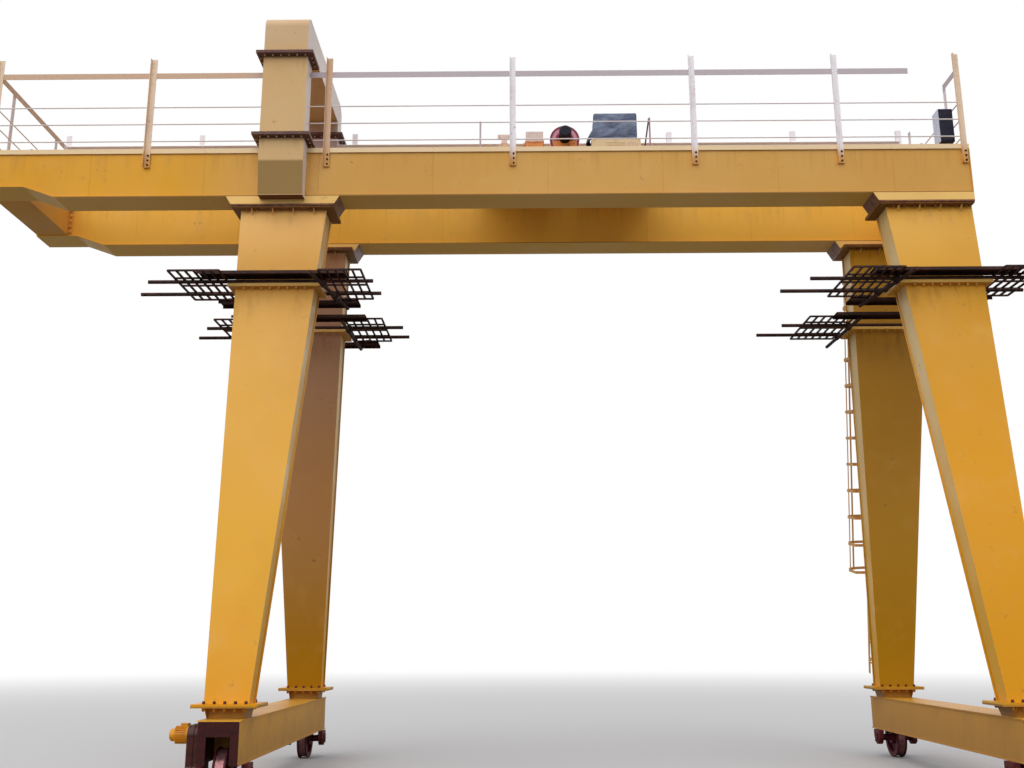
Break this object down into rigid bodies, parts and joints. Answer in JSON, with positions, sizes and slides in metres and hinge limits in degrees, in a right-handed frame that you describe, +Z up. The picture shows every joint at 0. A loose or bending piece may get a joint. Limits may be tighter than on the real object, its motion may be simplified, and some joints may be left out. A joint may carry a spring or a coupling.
{
  "type": "double-girder gantry crane",
  "caption": "Yellow double-girder gantry crane on A-shaped box legs, with a rail trolley, a saddle over the girders, railings and a caged ladder.",
  "frame": {"origin": "centre of the crane track at the lowest point of the wheels, midway between the ground beams and between the girders", "axes": "+X along the girders, away from the long cantilever; +Y across them, towards the ladder side; +Z up"},
  "size_m": [13.7143, 5.3012, 9.7599],
  "materials": {
    "crane_paint": "weathered gloss, wet",
    "railing_paint": "faded, rust-stained",
    "rolling_steel": "worn",
    "machine_paint": "weathered",
    "rusty_steel": "rusted",
    "drum_steel": "greased and worn",
    "cabinet_paint": "matte",
    "cover_cloth": "loose sheet",
    "box_paint": "matte"
  },
  "bodies": {
    "gantry": {"front_girder": "crane_paint", "back_girder": "crane_paint", "end_ties": "crane_paint", "front_girder_seats": "crane_paint", "back_girder_seats": "crane_paint", "left_ground_beam": "crane_paint", "right_ground_beam": "crane_paint", "saddle_brackets": "crane_paint", "saddle_columns": "crane_paint", "saddle_beam": "crane_paint", "front_left_upper_leg": "crane_paint", "front_left_lower_leg": "crane_paint", "front_right_upper_leg": "crane_paint", "front_right_lower_leg": "crane_paint", "back_left_upper_leg": "crane_paint", "back_left_lower_leg": "crane_paint", "back_right_upper_leg": "crane_paint", "back_right_lower_leg": "crane_paint", "front_railing": "railing_paint", "back_railing": "railing_paint", "end_railings": "railing_paint", "ladder": "railing_paint", "ladder_cage": "railing_paint", "trolley_rails": "rolling_steel", "rail_stops": "rolling_steel", "travel_wheels": "rolling_steel", "wheel_bearings": "machine_paint", "travel_drives": "machine_paint", "front_left_platform": "rusty_steel", "front_right_platform": "rusty_steel", "back_left_platform": "rusty_steel", "back_right_platform": "rusty_steel", "left_planks": "rusty_steel", "right_planks": "rusty_steel", "junction_box": "box_paint"},
    "trolley": {"trolley_frame": "machine_paint", "trolley_wheels": "rolling_steel", "drum_pedestals": "machine_paint", "hoist_motor": "machine_paint", "hoist_gear_case": "machine_paint", "electric_cabinet": "cabinet_paint", "cabinet_cover": "cover_cloth", "limit_posts": "machine_paint"},
    "drum": {"hoist_drum": "drum_steel"}
  },
  "joints": [
    {"name": "trolley_travel", "type": "slide", "parent": "gantry", "child": "trolley", "axis": [1, 0, 0], "range_m": [-6.25, 3.75]},
    {"name": "drum_turn", "type": "hinge", "parent": "trolley", "child": "drum", "pos_m": [-0.49, 0, 8.3853], "axis": [0, 1, 0], "continuous": true}
  ]
}
